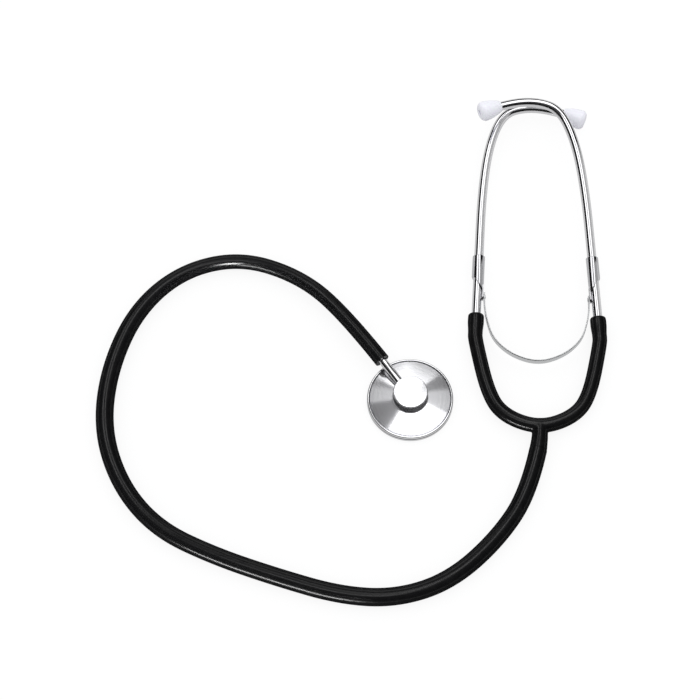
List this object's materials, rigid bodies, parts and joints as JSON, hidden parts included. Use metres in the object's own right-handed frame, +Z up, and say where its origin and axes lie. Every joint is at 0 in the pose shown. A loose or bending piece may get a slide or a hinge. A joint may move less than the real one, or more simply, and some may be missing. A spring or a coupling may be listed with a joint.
{
  "type": "stethoscope",
  "caption": "Single-head stethoscope lying on a table, with a diaphragm chest piece, one hose, a moulded Y, sprung ear tubes and ear tips.",
  "frame": {"origin": "centre of the chest piece on the table, at the diaphragm", "axes": "+Z up out of the table and through the hub, +Y towards the ear tips, +X to the ear tubes' side"},
  "size_m": [0.2731, 0.2941, 0.0256],
  "materials": {
    "turned_aluminium": "turned, satin",
    "chrome": "polished",
    "spring_steel": "bright",
    "diaphragm_plastic": "smooth",
    "black_tubing": "glossy, soft",
    "white_plastic": "smooth"
  },
  "bodies": {
    "tubing": {"main_tube": "black_tubing", "y_tube": "black_tubing", "leaf_spring": "spring_steel"},
    "left_binaural": {"left_ear_tube": "chrome", "left_spring_clip": "chrome", "left_spring_rivet": "chrome"},
    "right_binaural": {"right_ear_tube": "chrome", "right_spring_clip": "chrome", "right_spring_rivet": "chrome"},
    "left_tip": {"left_ear_tip": "white_plastic"},
    "right_tip": {"right_ear_tip": "white_plastic"},
    "chestpiece": {"chestpiece_body": "turned_aluminium", "chestpiece_stem": "chrome", "diaphragm": "diaphragm_plastic"},
    "ring": {"retaining_ring": "chrome"}
  },
  "joints": [
    {"name": "left_spread", "type": "hinge", "parent": "tubing", "child": "left_binaural", "pos_m": [0.0447, 0.028, 0.005], "axis": [0, 0, 1], "range_deg": [0, 40], "stiffness_Nm_per_rad": 1, "deforming": ["y_tube", "leaf_spring"]},
    {"name": "right_spread", "type": "hinge", "parent": "tubing", "child": "right_binaural", "pos_m": [0.0927, 0.028, 0.005], "axis": [0, 0, 1], "range_deg": [-40, 0], "stiffness_Nm_per_rad": 1, "deforming": ["y_tube", "leaf_spring"]},
    {"name": "left_ear_tip_turn", "type": "hinge", "parent": "left_binaural", "child": "left_tip", "pos_m": [0.09589, 0.16786, 0.0054], "axis": [0.9268, -0.3755, -0.0014], "continuous": true},
    {"name": "right_ear_tip_turn", "type": "hinge", "parent": "right_binaural", "child": "right_tip", "pos_m": [0.042, 0.16502, 0.02025], "axis": [-0.9183, -0.3822, 0.1035], "continuous": true},
    {"name": "chestpiece_swivel", "type": "hinge", "parent": "tubing", "child": "chestpiece", "pos_m": [0, 0, 0.008], "axis": [-0.5906, 0.807, 0], "continuous": true},
    {"name": "ring_turn", "type": "hinge", "parent": "chestpiece", "child": "ring", "pos_m": [0, 0, 0], "axis": [0, 0, 1], "continuous": true}
  ],
  "couplings": [
    {"joint": "right_spread", "follows": "left_spread", "ratio": -1}
  ]
}
